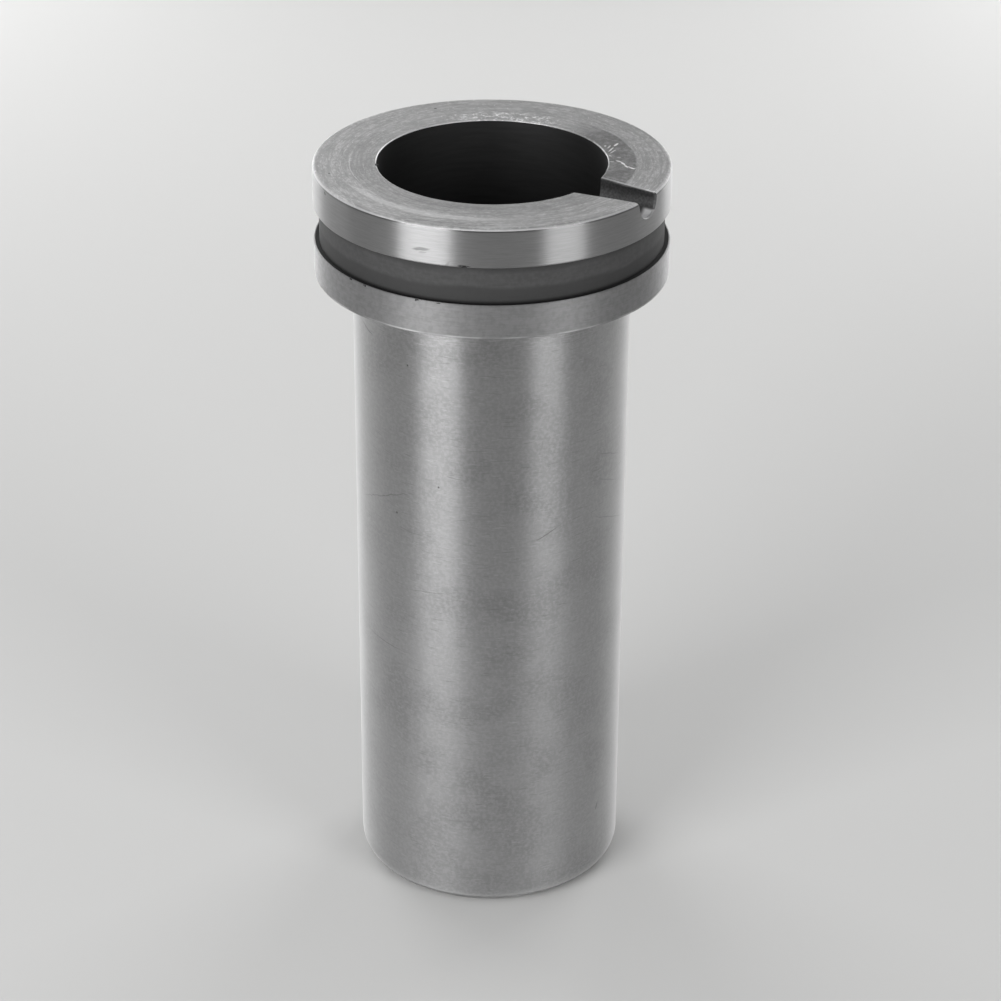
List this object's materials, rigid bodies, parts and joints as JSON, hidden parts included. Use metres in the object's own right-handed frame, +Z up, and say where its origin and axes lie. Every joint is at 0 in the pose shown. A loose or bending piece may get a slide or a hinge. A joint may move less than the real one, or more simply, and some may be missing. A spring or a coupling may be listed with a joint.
{
  "type": "foundry crucible",
  "caption": "Graphite melting crucible: straight turned body with a blind bore, thick collars at the mouth with a shallow groove for tongs between them, and a tapered pouring notch in the rim.",
  "frame": {"origin": "centre of the flat foot, on the turning axis", "axes": "+Z up along the turning axis to the mouth, +X towards the pouring notch, +Y towards the side that the notch tips to as it leaves the rim"},
  "size_m": [0.056, 0.056, 0.125],
  "materials": {
    "graphite": "finely turned graphite with a dull metallic sheen"
  },
  "bodies": {
    "root": {"crucible": "graphite"}
  },
  "joints": []
}
